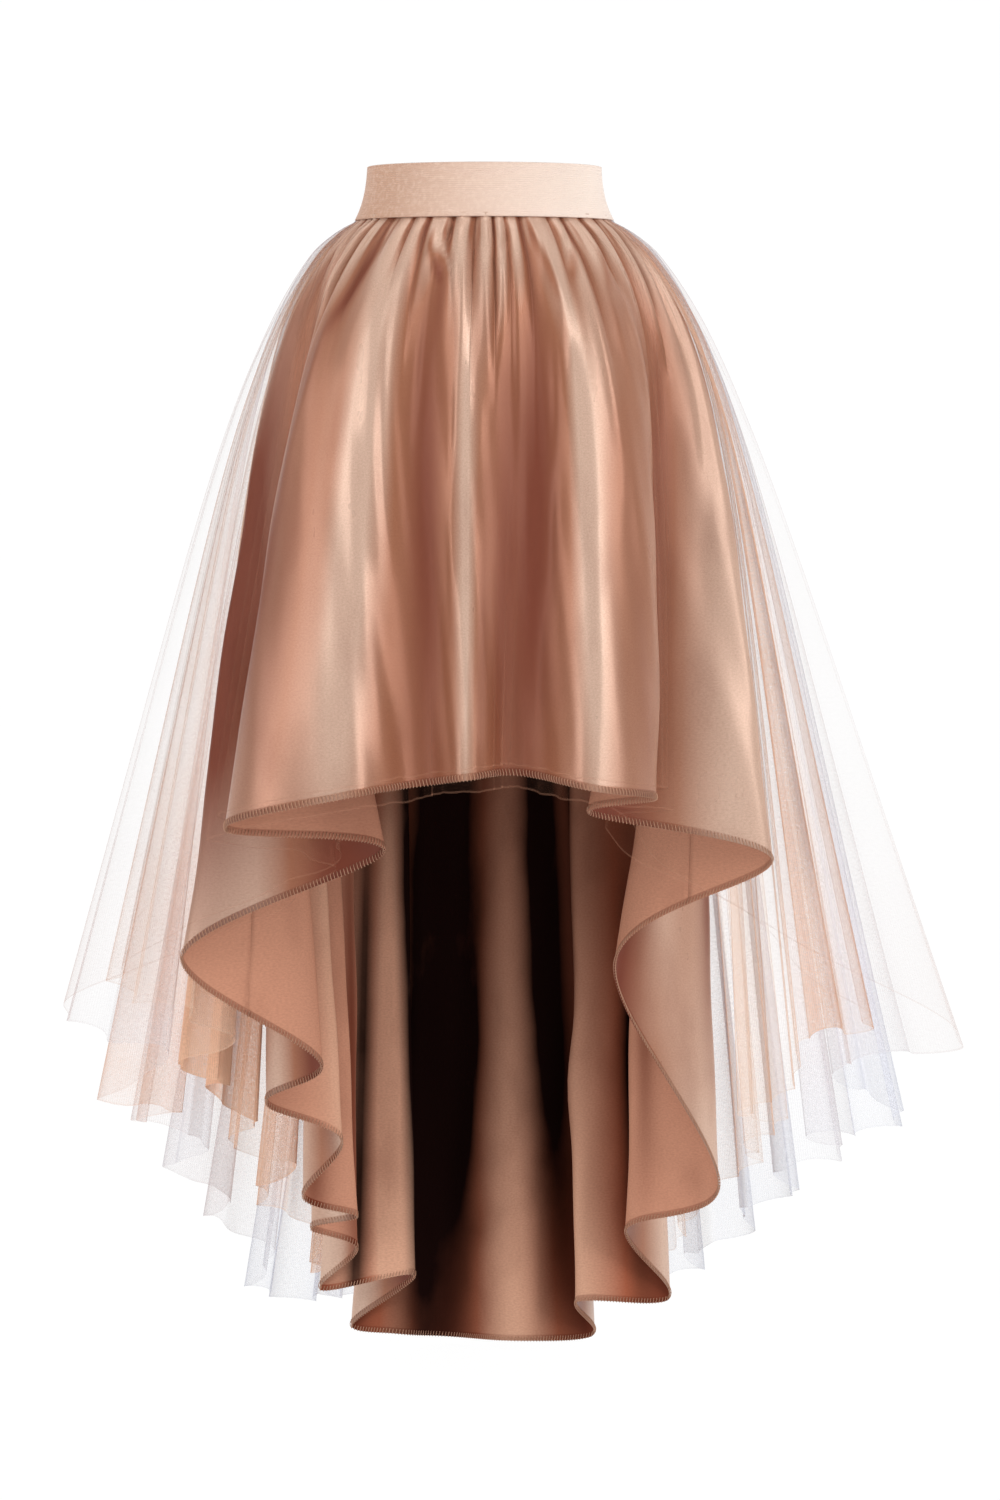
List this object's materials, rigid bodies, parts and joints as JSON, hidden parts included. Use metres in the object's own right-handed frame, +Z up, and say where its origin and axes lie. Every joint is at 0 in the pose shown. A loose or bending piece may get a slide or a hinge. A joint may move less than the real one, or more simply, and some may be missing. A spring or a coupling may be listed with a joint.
{
  "type": "high-low skirt",
  "caption": "High-low skirt with a wide elastic waistband, a gathered satin skirt, short in front and long behind, and sheer tulle layers over it.",
  "frame": {"origin": "centre of the waistband's top rim", "axes": "+Z up out of the waist, the wearer faces -Y, +X towards the wearer's left hand"},
  "size_m": [0.8481, 0.6785, 1.1802],
  "materials": {
    "elastic": "finely ribbed matte elastic",
    "satin": "copper satin with a soft sheen",
    "blush_tulle": "sheer fine net",
    "white_tulle": "sheer fine net"
  },
  "bodies": {
    "root": {"waistband": "elastic", "satin_front": "satin", "satin_back": "satin", "tulle_inner_front": "blush_tulle", "tulle_inner_back": "blush_tulle", "tulle_outer_front": "white_tulle", "tulle_outer_back": "white_tulle"}
  },
  "joints": []
}
